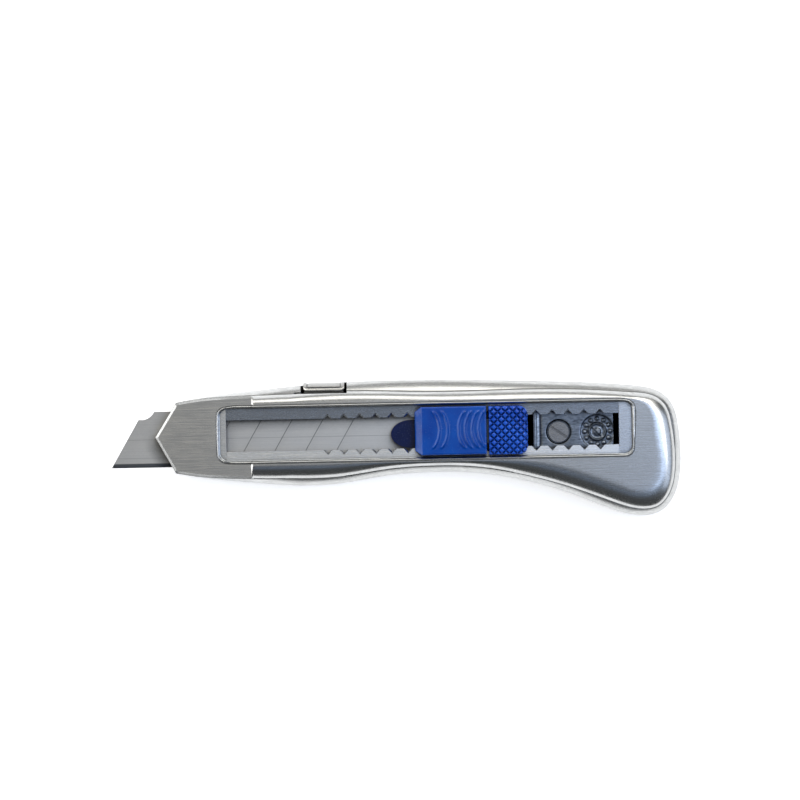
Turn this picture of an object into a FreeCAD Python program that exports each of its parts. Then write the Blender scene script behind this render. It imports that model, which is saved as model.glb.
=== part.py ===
"""A heavy snap-off utility knife with an 18 mm blade.

Two die-cast zinc half shells hold a stamped steel rail with notched lips, a guide plate that the blade
lies on, and a clamp plate whose single slotted screw draws the halves together behind the blade. A catch
button on the top edge hooks the halves near the nose. A plastic thumb slider, a carrier and a pin move the
blade, and a knurled pad presses a notch spring out of the rail's notches so that the slider can move. Two
spare blades lie in the back half.

Drawing frame: X from the nose point to the heel, Y across the body with the cutting edge at -Y, Z from the
flat back (0) to the thumb side. Everything is moved at export so that the origin is at the middle of the
knife's box, on the back face.
"""
import FreeCAD, Part
import math, os
from FreeCAD import Vector

# ---------------------------------------------------------------- driving dimensions, millimetres
BLADE_WIDTH = 18.0
BLADE_LENGTH = 100.0
BLADE_THICK = 0.5
BLADE_ANGLE = math.radians(60.0)      # snap lines and point, against the cutting edge
BLADE_PITCH = 10.0                    # distance between snap lines
BLADE_FIRST_LINE = 20.0               # the point section is two pitches long
BLADE_LINES = 6
BLADE_HOLE_R = 2.5
BLADE_HOLE_FROM_END = 5.0
BLADE_TIP_X = -14.3                   # how far the point stands out of the nose
BLADE_Y = -9.7                        # height of the cutting edge in the body
BLADE_Z = 10.75                       # underside of the working blade

SPARE_X = 12.4                        # point of the stored blades
SPARE_TRAY = (14.0, 113.0, BLADE_Y - 0.25, BLADE_Y + BLADE_WIDTH + 0.25)
TRAY_Z = 3.6                          # top of the ribs round the stored blades
CLIP_SCREW = (64.0, 11.8)

BACK_Z = 0.0
FLOOR_Z = 1.5                         # inside the back shell's floor, where ribs and bosses are rooted
PART_Z = 8.0                          # where the two half shells meet
CREASE_Z = 13.2                       # foot of the raised front panel
NOSE_PLATE_Z = 16.0                   # flat plate round the blade mouth
FACE_Z = 16.6                         # front face beside the window
WALL = 2.2

WINDOW = (20.9, 153.4, -7.95, 8.65)   # x0, x1, y0, y1 of the opening in the front shell
WINDOW_R = 2.6
SLOT = (22.9, 149.2, -5.05, 5.05)     # opening between the rail's lips
RAIL = (20.0, 154.3, -8.95, 9.55)
RAIL_T = 0.8
RAIL_TOP_Z = 14.8
RAIL_FOOT_Z = 11.5
RAIL_TAB_HALF = 5.0                   # half the width of the staked tabs
RAIL_TAB_START = 14.8
RAIL_TAB_END = 161.4
STAKES = (17.4, 158.2)                # stakes that hold the rail's tabs
STAKE_R = 1.2
LIP_DISH = 0.35                       # how far the lips fall towards the slot
NOTCH_FIRST_X = 55.6
NOTCH_PITCH = 5.15
NOTCH_COUNT = 18
NOTCH_DEPTH = 1.8                     # at the top of the lip
NOTCH_FOOT_DEPTH = 0.95               # at the underside: the notch is coined with sloping sides
NOTCH_SLOPE = 1.03                    # half width of a notch for each millimetre of depth

NOSE_KEY = (4.1, 7.5, 4.0)            # x0, x1 and half width of the key between the shells at the nose
TAIL_PEG = (157.5, -20.5)             # peg that lines them up at the heel
TAIL_PEG_R = 2.0

GUIDE_Z = 9.6                         # underside of the guide plate
GUIDE_T = 1.0
GUIDE_SCREWS = [(36.0, -12.0), (36.0, 11.3), (113.0, -11.6), (113.0, 11.6)]
GUIDE_SCREW_TIP_Z = 11.7
GUIDE_EAR_R = 2.3

CLAMP = (121.7, 147.6, -9.2, 8.8)     # clamp plate
CLAMP_Z = 9.4
CLAMP_T = 1.0
CLAMP_SCREW = (129.9, -0.7)
CLAMP_SCREW_HEAD_R = 3.25
CLAMP_SCREW_R = 1.95
INSERT_R = 2.8                        # brass insert for the clamp screw
INSERT_Z = 2.6
DIAL = (142.4, -0.8)                  # round casting date mark on the clamp plate
DIAL_DOTS = 12
DIAL_RING_R = 4.1

SLIDER = (83.6, 106.5, -7.3, 8.1)
SLIDER_Z = (15.0, 19.2)
PAD = (107.3, 119.8, -7.5, 8.05)
PAD_Z = (15.9, 18.9)
SCOOP_R = 34.0                        # hollow for the thumb
RIVETS = (89.0, 96.5)                 # rivets that join the carrier to the slider
RIVET_R = 1.1
RIVET_HEAD_R = 1.9
MID_Y = 0.3                           # middle of the slider between the window's edges
TONGUE_X = 75.9
NOTCH_SPRING_X = NOTCH_FIRST_X + 11 * NOTCH_PITCH
CARRIER_Z = (11.35, 12.5)
CARRIER_HALF = 7.9                    # half its width

BUTTON = (47.9, 61.1)                 # catch button along the top edge
BUTTON_GAP = 0.8
BUTTON_TOP_Y = 16.7
CATCH_LEG = (52.2, 56.8, 11.9, 12.9)  # leg of the catch, x0, x1, y0, y1

# The body's outline from the nose's upper corner, along the top, round the heel and back below.
OUTLINE = [
    (6.9, 11.1), (14.0, 12.5), (30.0, 14.3), (48.0, 15.9), (66.0, 16.8), (90.0, 16.85), (118.0, 16.1),
    (140.0, 15.1), (155.0, 13.75), (162.3, 11.9), (166.3, 8.2), (168.3, 2.0), (169.1, -7.3), (168.6, -15.8),
    (166.9, -21.6), (162.6, -26.7), (155.3, -28.1), (146.0, -25.7), (131.5, -20.0), (117.0, -15.8),
    (104.0, -13.5), (88.0, -12.9), (74.0, -13.8), (60.0, -15.9), (47.0, -16.4), (30.0, -15.1), (14.0, -13.2),
    (6.5, -11.7),
]
NOSE_POINT = (0.0, 0.0)
FRAME_SHIFT = Vector(-(OUTLINE[12][0] + BLADE_TIP_X) / 2, -(OUTLINE[5][1] + OUTLINE[16][1]) / 2, 0)


# ---------------------------------------------------------------- small helpers
def box(x0, x1, y0, y1, z0, z1):
    """A box between two corners."""
    return Part.makeBox(x1 - x0, y1 - y0, z1 - z0, Vector(x0, y0, z0))


def rod(x, y, z0, z1, r):
    """An upright cylinder."""
    return Part.makeCylinder(r, z1 - z0, Vector(x, y, z0))


def rounded_box(x0, x1, y0, y1, z0, z1, r):
    """A box whose four upright edges are rounded to radius r."""
    block = box(x0, x1, y0, y1, z0, z1)
    upright = [e for e in block.Edges if abs(e.BoundBox.ZLength - (z1 - z0)) < 1e-6]
    return block.makeFillet(r, upright)


def polygon(points, z):
    """A closed wire through 2-D points at height z."""
    ring = [Vector(x, y, z) for x, y in points]
    return Part.makePolygon(ring + ring[:1])


def prism(points, z0, z1):
    """A straight prism over a 2-D polygon."""
    return Part.Face(polygon(points, z0)).extrude(Vector(0, 0, z1 - z0))


def unit(x, y):
    """The unit vector along (x, y)."""
    size = math.hypot(x, y)
    return x / size, y / size


# ---------------------------------------------------------------- body outline at any level
def edge_inset(x, ny):
    """Width of the rim outside the raised panel: widest along the top edge, nothing at the nose."""
    width = 1.7 + 1.8 * max(0.0, ny) ** 2 + 0.5 * max(0.0, -ny) ** 2
    ramp = min(1.0, max(0.0, (x - 4.0) / 44.0))
    return width * ramp * (2 - ramp)


def body_wire(z, rim_share, more, nose):
    """The outline at height z, inset by rim_share of the rim plus more, and by nose at the nose point."""
    inner = []
    for i in range(1, len(OUTLINE) - 1):
        (ax, ay), (x, y), (bx, by) = OUTLINE[i - 1:i + 2]
        tx, ty = unit(bx - ax, by - ay)
        nx, ny = -ty, tx
        d = rim_share * edge_inset(x, ny) + more
        inner.append(Vector(x - nx * d, y - ny * d, z))
    ends = []
    for corner, beside in ((OUTLINE[0], OUTLINE[1]), (OUTLINE[-1], OUTLINE[-2])):
        ux, uy = unit(NOSE_POINT[0] - corner[0], NOSE_POINT[1] - corner[1])
        vx, vy = unit(beside[0] - corner[0], beside[1] - corner[1])
        sine = abs(ux * vy - uy * vx)
        side = rim_share * edge_inset(corner[0], math.copysign(1.0, corner[1])) + more
        ends.append(Vector(corner[0] + (ux * side + vx * nose) / sine,
                           corner[1] + (uy * side + vy * nose) / sine, z))
    half = math.atan2(OUTLINE[0][1], OUTLINE[0][0])
    tip = Vector(NOSE_POINT[0] + nose / math.sin(half), NOSE_POINT[1], z)
    side = Part.BSplineCurve()
    side.interpolate([ends[0]] + inner + [ends[1]])
    return Part.Wire([Part.makeLine(tip, ends[0]), side.toShape(), Part.makeLine(ends[1], tip)])


def stack(levels):
    """A solid through body outlines, each level being (z, rim_share, more, nose)."""
    return Part.makeLoft([body_wire(*level) for level in levels], True, True)


# ---------------------------------------------------------------- shells
def clamp_ledge_cut():
    """The front shell's hollow round the clamp plate, with a ledge on both sides that it presses on."""
    x0, x1, y0, y1 = CLAMP
    upper = box(119.4, x1 + 0.6, y0 - 0.2, y1 + 0.15, CLAMP_Z - 0.05, RAIL_FOOT_Z + 0.1)
    lower = box(119.4, x1 + 0.6, y0 + 2.2, y1 - 2.0, PART_Z - 0.1, CLAMP_Z)
    return upper.fuse(lower)


def front_shell():
    """The front half: flank, raised panel, window, and hollows for the rail, blade, plates and catch."""
    outer = stack([
        (PART_Z, 0, 0, 0), (10.6, 0, 0, 0), (12.2, 0.3, 0, 0), (CREASE_Z, 1, 0, 0), (15.2, 1, 0.9, 0.1),
        (16.2, 1, 2.0, 0.7), (FACE_Z, 1, 3.6, 1.6),
    ])
    shell = outer.cut(box(-5, 31.0, -20, 20, NOSE_PLATE_Z, FACE_Z + 1))
    x0, x1, y0, y1 = WINDOW
    shell = shell.cut(rounded_box(x0, x1, y0, y1, RAIL_TOP_Z - 0.5, FACE_Z + 1, WINDOW_R))
    rx0, rx1, ry0, ry1 = RAIL
    seat_z = RAIL_TOP_Z + 0.02
    shell = shell.cut(box(rx0 - 0.3, rx1 + 0.3, ry0 - 0.1, ry1 + 0.1, RAIL_FOOT_Z - 0.05, seat_z))
    tab_half = RAIL_TAB_HALF + 0.2
    shell = shell.cut(box(RAIL_TAB_START - 0.2, RAIL_TAB_END + 0.2, -tab_half, tab_half, 11.3, seat_z))
    path_z = CARRIER_Z[0] - 0.2
    path_half = CARRIER_HALF + 0.3
    shell = shell.cut(box(rx0 - 0.3, rx1 + 0.3, MID_Y - path_half, MID_Y + path_half, path_z, RAIL_FOOT_Z))
    edge_top = BLADE_Y + BLADE_WIDTH
    shell = shell.cut(box(-2, 118.8, BLADE_Y - 0.3, edge_top + 0.3, GUIDE_Z + GUIDE_T - 0.02, RAIL_FOOT_Z))
    shell = shell.cut(guide_outline(0.15, PART_Z - 0.1, GUIDE_Z + GUIDE_T))
    shell = shell.cut(clamp_ledge_cut())
    tail_hollow = stack([(PART_Z - 0.1, 0, 3.4, 4), (12.6, 0, 4.6, 4)])
    shell = shell.cut(tail_hollow.common(box(149.5, 175, -30, 8.5, 0, 13)))
    kx0, kx1, key_half = NOSE_KEY
    key_half += 0.1
    shell = shell.cut(box(kx0 - 0.1, kx1 + 0.1, -key_half, key_half, PART_Z - 0.1, GUIDE_Z + 0.1))
    for x, y in GUIDE_SCREWS:
        shell = shell.cut(rod(x, y, GUIDE_Z, GUIDE_SCREW_TIP_Z + 0.2, 1.02))
    shell = shell.cut(catch_hollow())
    for x in STAKES:
        shell = shell.fuse(rod(x, 0, 13.3, RAIL_TOP_Z + 0.4, STAKE_R))
    shell = shell.fuse(rod(*TAIL_PEG, PART_Z, 13.4, 3.6))
    shell = shell.cut(rod(*TAIL_PEG, PART_Z - 0.1, 11.2, TAIL_PEG_R + 0.05))
    return shell.removeSplitter()


def catch_hollow():
    """The opening in the top edge for the catch button and the pocket for its flange and spring."""
    x0, x1 = BUTTON
    opening = rounded_box(x0 - BUTTON_GAP, x1 + BUTTON_GAP, 11.0, 19.0, 6.0, 13.3, 0.4)
    mouth = opening.common(box(x0 - 3, x1 + 3, 10.5, 19.5, PART_Z - 0.05, 13.3))
    pocket = box(x0 - 2.9, x1 + 2.9, 10.45, 13.1, PART_Z - 0.1, 12.7)
    return mouth.fuse(pocket)


def back_shell():
    """The back half: a tray with a flat back, a screw boss, a catch ledge and locating pieces."""
    rounded = [(BACK_Z, 0, 2.8, 2.0), (0.3, 0, 1.8, 1.2), (1.1, 0, 0.7, 0.5)]
    outer = stack(rounded + [(3.0, 0, 0, 0), (PART_Z, 0, 0, 0)])
    hollow = stack([(2.0, 0, WALL + 0.4, 3.0), (PART_Z + 0.1, 0, WALL, 3.0)])
    shell = outer.cut(hollow.cut(box(-1, 11.0, -20, 20, 0, PART_Z + 1)))
    x, y = CLAMP_SCREW
    boss = rod(x, y, FLOOR_Z, CLAMP_Z - 0.05, 4.6)
    shell = shell.fuse(boss).cut(rod(x, y, INSERT_Z, CLAMP_Z, INSERT_R))
    shell = shell.fuse(rod(*TAIL_PEG, FLOOR_Z, 10.8, TAIL_PEG_R))
    kx0, kx1, key_half = NOSE_KEY
    shell = shell.fuse(box(kx0, kx1, -key_half, key_half, PART_Z - 0.5, GUIDE_Z))
    shell = shell.fuse(box(CATCH_LEG[0] - 2.0, CATCH_LEG[1] + 2.0, 13.2, 14.6, 6.8, PART_Z))
    x0, x1, y0, y1 = SPARE_TRAY
    rails = box(x0, x1, y1, y1 + 1.0, FLOOR_Z, TRAY_Z).fuse(box(x0, x1, y0 - 1.0, y0, FLOOR_Z, TRAY_Z))
    rails = rails.fuse(box(x1, x1 + 1.0, y0 - 1.0, y1 + 1.0, FLOOR_Z, TRAY_Z)).common(outer)
    shell = shell.fuse(rails)
    shell = shell.fuse(rod(*CLIP_SCREW, FLOOR_Z, TRAY_Z, 2.2))
    shell = shell.cut(rod(*CLIP_SCREW, FLOOR_Z - 0.1, TRAY_Z + 0.1, 0.82))
    return shell.removeSplitter()


# ---------------------------------------------------------------- rail, guide plate, clamp plate
def notch_cutter(x, edge_y, side):
    """A V-shaped coining punch for one notch: side is -1 for the lower lip and 1 for the upper."""
    overlap = 0.2
    rise = (NOTCH_DEPTH - NOTCH_FOOT_DEPTH) / RAIL_T
    rings = []
    for z in (RAIL_TOP_Z - RAIL_T - overlap, RAIL_TOP_Z + overlap):
        depth = NOTCH_DEPTH + rise * (z - RAIL_TOP_Z)
        half = NOTCH_SLOPE * (depth + overlap)
        base_y = edge_y - side * overlap
        rings.append(polygon([(x - half, base_y), (x + half, base_y), (x, edge_y + side * depth)], z))
    return Part.makeLoft(rings, True, True)


def toothed_rail():
    """A steel channel, open below, with notches in its two lips and a staked tab at each end."""
    x0, x1, y0, y1 = RAIL
    sx0, sx1, sy0, sy1 = SLOT
    lip_z = RAIL_TOP_Z - RAIL_T
    rail = box(x0, x1, y0, y1, RAIL_FOOT_Z, RAIL_TOP_Z)
    rail = rail.cut(box(x0 - 1, x1 + 1, y0 + RAIL_T, y1 - RAIL_T, RAIL_FOOT_Z - 1, lip_z))
    rail = rail.fuse(box(RAIL_TAB_START, x0, -RAIL_TAB_HALF, RAIL_TAB_HALF, lip_z, RAIL_TOP_Z))
    rail = rail.fuse(box(x1, RAIL_TAB_END, -RAIL_TAB_HALF, RAIL_TAB_HALF, lip_z, RAIL_TOP_Z))
    rail = rail.cut(box(sx0, sx1, sy0, sy1, lip_z - 1, RAIL_TOP_Z + 1))
    for side, edge_y, wall_y in ((1, sy1, y1 - RAIL_T), (-1, sy0, y0 + RAIL_T)):
        dish_z = RAIL_TOP_Z - LIP_DISH
        slope = [(edge_y - side, dish_z), (edge_y, dish_z), (wall_y, RAIL_TOP_Z),
                 (wall_y, RAIL_TOP_Z + 1), (edge_y - side, RAIL_TOP_Z + 1)]
        ring = [Vector(sx0, y, z) for y, z in slope + slope[:1]]
        rail = rail.cut(Part.Face(Part.makePolygon(ring)).extrude(Vector(sx1 - sx0, 0, 0)))
    centres = [NOTCH_FIRST_X + i * NOTCH_PITCH for i in range(NOTCH_COUNT)]
    punches = [notch_cutter(x, y, side) for x in centres for y, side in ((sy1, 1), (sy0, -1))]
    rail = rail.cut(Part.makeCompound(punches))
    for x in STAKES:
        rail = rail.cut(rod(x, 0, lip_z - 1, RAIL_TOP_Z + 1, STAKE_R + 0.05))
    return rail.removeSplitter()


def guide_outline(gap, z0, z1):
    """The guide plate's plan as a prism: a strip under the blade with four screw ears, grown by gap."""
    strip = box(8.8 - gap, 118.6 + gap, BLADE_Y - 0.2 - gap, BLADE_Y + BLADE_WIDTH + 0.2 + gap, z0, z1)
    for x, y in GUIDE_SCREWS:
        root = math.copysign(6.0, y)
        ear = box(x - GUIDE_EAR_R - gap, x + GUIDE_EAR_R + gap, min(y, root), max(y, root), z0, z1)
        strip = strip.fuse(ear).fuse(rod(x, y, z0, z1, GUIDE_EAR_R + gap))
    return strip.common(box(-5, 130, -15.5, 15.5, z0, z1))


def guide_plate():
    """The steel plate that the blade slides on."""
    plate = guide_outline(0, GUIDE_Z, GUIDE_Z + GUIDE_T)
    for x, y in GUIDE_SCREWS:
        plate = plate.cut(rod(x, y, GUIDE_Z - 1, GUIDE_Z + 2, 1.15))
    for x in (22.0, 62.0, 90.0):
        plate = plate.cut(rounded_box(x, x + 18.0, -3.5, 2.5, GUIDE_Z - 1, GUIDE_Z + 2, 2.5))
    return plate.removeSplitter()


def guide_screws():
    """Four pan-head screws that hold the guide plate up against the front shell."""
    screws = []
    for x, y in GUIDE_SCREWS:
        head = rod(x, y, GUIDE_Z - 1.1, GUIDE_Z, 1.9)
        slot = box(x - 2, x + 2, y - 0.25, y + 0.25, GUIDE_Z - 1.2, GUIDE_Z - 0.6)
        screws.append(head.fuse(rod(x, y, GUIDE_Z, GUIDE_SCREW_TIP_Z, 1.0)).cut(slot))
    return Part.makeCompound(screws)


def clamp_plate():
    """The cast plate behind the blade: a rib in front, a counterbore for the screw and a round date mark."""
    x0, x1, y0, y1 = CLAMP
    top = CLAMP_Z + CLAMP_T
    plate = box(x0, x1, y0, y1, CLAMP_Z, top).fuse(box(x0, x0 + 1.1, y0, y1, CLAMP_Z, top + 0.5))
    sx, sy = CLAMP_SCREW
    plate = plate.cut(rod(sx, sy, top - 0.45, top + 1, 3.9)).cut(rod(sx, sy, CLAMP_Z - 1, top + 1, 2.1))
    dx, dy = DIAL
    dial = rod(dx, dy, top - 0.1, top + 0.35, 2.8).cut(rod(dx, dy, top + 0.15, top + 1, 2.3))
    arrow = prism([(dx - 1.5, dy - 0.4), (dx + 0.4, dy - 0.4), (dx + 0.4, dy - 1.0), (dx + 1.7, dy),
                   (dx + 0.4, dy + 1.0), (dx + 0.4, dy + 0.4), (dx - 1.5, dy + 0.4)], top + 0.1, top + 0.3)
    plate = plate.fuse(dial).fuse(arrow)
    for i in range(DIAL_DOTS):
        angle = 2 * math.pi * i / DIAL_DOTS
        x, y = dx + DIAL_RING_R * math.cos(angle), dy + DIAL_RING_R * math.sin(angle)
        plate = plate.fuse(rod(x, y, top - 0.1, top + 0.3, 0.55))
    return plate.removeSplitter()


def clamp_screw():
    """The slotted screw that draws the clamp plate, and with it the front shell, onto the back shell."""
    x, y = CLAMP_SCREW
    seat = CLAMP_Z + CLAMP_T - 0.45
    screw = rod(x, y, seat, seat + 1.2, CLAMP_SCREW_HEAD_R).fuse(rod(x, y, 4.6, seat, CLAMP_SCREW_R))
    slot = box(x - 4, x + 4, y - 0.4, y + 0.4, seat + 0.55, seat + 2)
    slot.rotate(Vector(x, y, 0), Vector(0, 0, 1), -35)
    return screw.cut(slot)


def threaded_insert():
    """A brass insert pressed into the back shell's boss, bored for the clamp screw."""
    x, y = CLAMP_SCREW
    return rod(x, y, INSERT_Z, CLAMP_Z - 0.1, INSERT_R).cut(rod(x, y, INSERT_Z - 0.1, CLAMP_Z, CLAMP_SCREW_R))


# ---------------------------------------------------------------- blades
def blade(tip_x, low_z):
    """A snap-off blade, its point at tip_x: bitten top corner, ground edge, snap lines and a hole."""
    w, length, t = BLADE_WIDTH, BLADE_LENGTH, BLADE_THICK
    bite_x, bite_y, bite_r = 9.9, w + 1.9, 4.5
    slope = math.tan(BLADE_ANGLE)
    # where the sloping front meets the round bite: a quadratic in x
    a, b = 1 + slope ** 2, -2 * (bite_x + slope * bite_y)
    c = bite_x ** 2 + bite_y ** 2 - bite_r ** 2
    front_x = (-b - math.sqrt(b * b - 4 * a * c)) / (2 * a)
    front = Vector(front_x, slope * front_x, 0)
    low = math.radians(-75)
    bottom = Vector(bite_x + bite_r * math.cos(low), bite_y + bite_r * math.sin(low), 0)
    top = Vector(bite_x + math.sqrt(bite_r ** 2 - 1.9 ** 2), w, 0)
    ring = [Vector(0, 0, 0), Vector(length - 4, 0, 0), Vector(length, 7, 0), Vector(length, w, 0), top]
    edges = [Part.makeLine(ring[i], ring[i + 1]) for i in range(4)]
    edges += [Part.Arc(top, bottom, front).toShape(), Part.makeLine(front, ring[0])]
    plate = Part.Face(Part.Wire(edges)).extrude(Vector(0, 0, t))
    for sign in (1, -1):
        mid = t / 2
        grind = Part.Face(Part.makePolygon([
            Vector(-1, -0.1, mid + sign * 0.03), Vector(-1, 1.25, mid + sign * t / 2),
            Vector(-1, -0.1, mid + sign * (t / 2 + 0.1)), Vector(-1, -0.1, mid + sign * 0.03)]))
        plate = plate.cut(grind.extrude(Vector(length + 2, 0, 0)))
    for i in range(BLADE_LINES):
        x = BLADE_FIRST_LINE + i * BLADE_PITCH
        groove = box(x - 0.12, x + 0.12, -1, w / math.sin(BLADE_ANGLE) + 1, t - 0.12, t + 0.1)
        groove.rotate(Vector(x, 0, 0), Vector(0, 0, 1), math.degrees(BLADE_ANGLE) - 90)
        plate = plate.cut(groove)
    plate = plate.cut(rod(length - BLADE_HOLE_FROM_END, w / 2, -1, 1, BLADE_HOLE_R))
    plate.translate(Vector(tip_x, BLADE_Y, low_z))
    return plate


def spare_clip():
    """A bent spring strip, screwed to the back shell, that presses on the stored blades."""
    x, y = CLIP_SCREW
    foot = rod(x, y, 3.65, 4.05, 2.4).fuse(box(x - 2.2, x + 2.2, y - 3.6, y, 3.65, 4.05))
    arm = box(x - 2.2, x + 2.2, -4.0, y - 2.0, 3.65, 4.05)
    toe = box(x - 2.2, x + 2.2, -4.0, -3.6, 3.2, 4.05)
    return foot.fuse(arm).fuse(toe).cut(rod(x, y, 3, 5, 0.95)).removeSplitter()


def clip_screw():
    """The small screw of the spare blades' clip."""
    x, y = CLIP_SCREW
    slot = box(x - 2, x + 2, y - 0.2, y + 0.2, 4.6, 6)
    return rod(x, y, 4.1, 5.0, 1.6).fuse(rod(x, y, 1.8, 4.1, 0.8)).cut(slot)


# ---------------------------------------------------------------- slider group
def slider_block(x0, x1, y0, y1, z0, z1, corner, rake, draft):
    """A block with its front corners cut off in plan, a raked front and drafted sides."""
    def plan(dx, dy):
        return [(x1, y0 + dy), (x1, y1 - dy), (x0 + dx + corner, y1 - dy), (x0 + dx, y1 - dy - corner),
                (x0 + dx, y0 + dy + corner), (x0 + dx + corner, y0 + dy)][::-1]
    return Part.makeLoft([polygon(plan(0, 0), z0), polygon(plan(rake, draft), z1)], True, True)


def thumb_slider():
    """The blue thumb piece: a raked block above the lips and a neck down the slot to the carrier."""
    x0, x1, y0, y1 = SLIDER
    block = slider_block(x0, x1, y0, y1, SLIDER_Z[0], SLIDER_Z[1], 1.7, 2.2, 0.5)
    scoop_at = Vector((x0 + x1) / 2 + 0.8, y0 - 2, SLIDER_Z[1] + SCOOP_R - 0.7)
    scoop = Part.makeCylinder(SCOOP_R, y1 - y0 + 4, scoop_at, Vector(0, 1, 0))
    neck = box(x0 + 1.2, 98.5, -4.75, 4.75, CARRIER_Z[1], SLIDER_Z[0] + 0.5)
    rear_neck = box(98.5, 106.2, -4.75, 4.75, 13.65, SLIDER_Z[0] + 0.5)
    slider = block.cut(scoop).fuse(neck).fuse(rear_neck)
    for x in RIVETS:
        slider = slider.cut(rod(x, MID_Y, CARRIER_Z[1] - 1, 15.6, RIVET_R))
    return slider.removeSplitter()


def blade_carrier():
    """The moulding under the lips: a plate behind the blade with a rounded tongue over the blade's end."""
    z0, z1 = CARRIER_Z
    plate = box(86.2, 118.0, MID_Y - CARRIER_HALF, MID_Y + CARRIER_HALF, z0, z1)
    tip = Part.makeCylinder(1.0, z1 - z0, Vector(0, 0, z0))
    long, wide, tongue_y = 6.5, 4.5, -0.4
    stretch = FreeCAD.Matrix(long, 0, 0, TONGUE_X + long, 0, wide, 0, tongue_y, 0, 0, 1, 0, 0, 0, 0, 1)
    tip = tip.transformGeometry(stretch)
    tongue = box(TONGUE_X + long, 88.0, tongue_y - wide, tongue_y + wide, z0, z1)
    carrier = plate.fuse(tongue).fuse(tip).fuse(box(99.2, 105.5, -4.4, 4.4, z1 - 0.1, 13.2))
    pin_x = BLADE_TIP_X + BLADE_LENGTH - BLADE_HOLE_FROM_END
    carrier = carrier.cut(rod(pin_x, BLADE_Y + BLADE_WIDTH / 2, z0 - 1, z1 - 0.4, 1.5))
    for x in RIVETS:
        carrier = carrier.cut(rod(x, MID_Y, z0 - 1, z1 + 1, RIVET_R)).cut(
            Part.makeCone(RIVET_HEAD_R, RIVET_R, 0.8, Vector(x, MID_Y, z0)))
    return carrier.removeSplitter()


def blade_pin():
    """The steel pin in the carrier's tongue that fills the blade's hole."""
    x, y = BLADE_TIP_X + BLADE_LENGTH - BLADE_HOLE_FROM_END, BLADE_Y + BLADE_WIDTH / 2
    z0, z1 = CARRIER_Z
    return rod(x, y, BLADE_Z + 0.05, z0, 2.4).fuse(rod(x, y, z0 - 0.05, z1 - 0.4, 1.5)).removeSplitter()


def slider_rivets():
    """Two countersunk rivets that join the carrier to the thumb slider."""
    z0 = CARRIER_Z[0]
    rivets = []
    for x in RIVETS:
        head = Part.makeCone(RIVET_HEAD_R, RIVET_R, 0.8, Vector(x, MID_Y, z0))
        rivets.append(head.fuse(rod(x, MID_Y, z0 + 0.5, 15.6, RIVET_R)).removeSplitter())
    return Part.makeCompound(rivets)


def notch_spring():
    """A leaf under the knurled pad whose two raised V teeth sit in a pair of the rail's notches."""
    z0, z1 = 13.2, 13.6
    leaf = box(99.4, 117.0, -3.9, 3.9, z0, z1)
    x = NOTCH_SPRING_X
    arms = box(x - 1.5, x + 1.5, -6.4, 6.4, z0, z1)
    spring = leaf.fuse(arms)
    root, tip = SLOT[3] - 0.35, SLOT[3] + NOTCH_FOOT_DEPTH - 0.35
    for side in (1, -1):
        tooth = [(x - tip + root, side * root), (x + tip - root, side * root), (x, side * tip)]
        spring = spring.fuse(prism(tooth, z1 - 0.1, RAIL_TOP_Z - 0.5))
    return spring.removeSplitter()


def lock_pad():
    """The knurled pad: a rounded block over the lips with a stem that rests on the notch spring."""
    x0, x1, y0, y1 = PAD
    block = box(x0, x1, y0, y1, *PAD_Z)
    rear = [e for e in block.Edges if abs(e.BoundBox.XMin - x1) < 1e-6 and e.BoundBox.ZLength > 1]
    block = block.makeFillet(2.6, rear)
    top_rear = [e for e in block.Edges if e.BoundBox.ZMin > PAD_Z[1] - 1e-6 and e.BoundBox.XMax > x1 - 2.7
                and e.BoundBox.XMin > x0 + 1]
    block = block.makeChamfer(1.0, top_rear)
    stem = box(x0 + 1.2, x1 - 2.0, -4.2, 4.2, 13.65, PAD_Z[0] + 0.5)
    return block.fuse(stem).removeSplitter()


# ---------------------------------------------------------------- catch
def catch_button():
    """The spring catch on the top edge: a shaped cap, a flange behind the wall and a hook under a ledge."""
    x0, x1 = BUTTON
    foot_z = 8.45
    section = [(12.0, foot_z), (BUTTON_TOP_Y, foot_z), (BUTTON_TOP_Y, 11.3), (15.9, 12.3), (14.1, 12.95),
               (12.0, 12.6)]
    face = Part.Face(Part.makePolygon([Vector(x0, y, z) for y, z in section + section[:1]]))
    cap = face.extrude(Vector(x1 - x0, 0, 0))
    flange = box(x0 - 1.9, x1 + 1.9, 11.7, 12.9, 8.35, 12.4)
    leg = box(*CATCH_LEG, 5.6, 8.5)
    jaw = box(CATCH_LEG[0], CATCH_LEG[1], 12.5, 13.5, 5.6, 6.65)
    return cap.fuse(flange).fuse(leg).fuse(jaw).removeSplitter()


def catch_spring():
    """A bowed leaf between the button's flange and the shell that pushes the button out."""
    x0, x1 = BUTTON[0] - 1.0, BUTTON[1] + 1.0
    middle = (x0 + x1) / 2
    t = 0.25
    outer = Part.Arc(Vector(x0, 10.5, 9), Vector(middle, 11.68, 9), Vector(x1, 10.5, 9)).toShape()
    near, far = Vector(x0 + 2 * t, 10.5, 9), Vector(x1 - 2 * t, 10.5, 9)
    inner = Part.Arc(far, Vector(middle, 11.68 - t, 9), near).toShape()
    ends = [Part.makeLine(Vector(x1, 10.5, 9), far), Part.makeLine(near, Vector(x0, 10.5, 9))]
    return Part.Face(Part.Wire([outer, ends[0], inner, ends[1]])).extrude(Vector(0, 0, 3.0))


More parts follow.
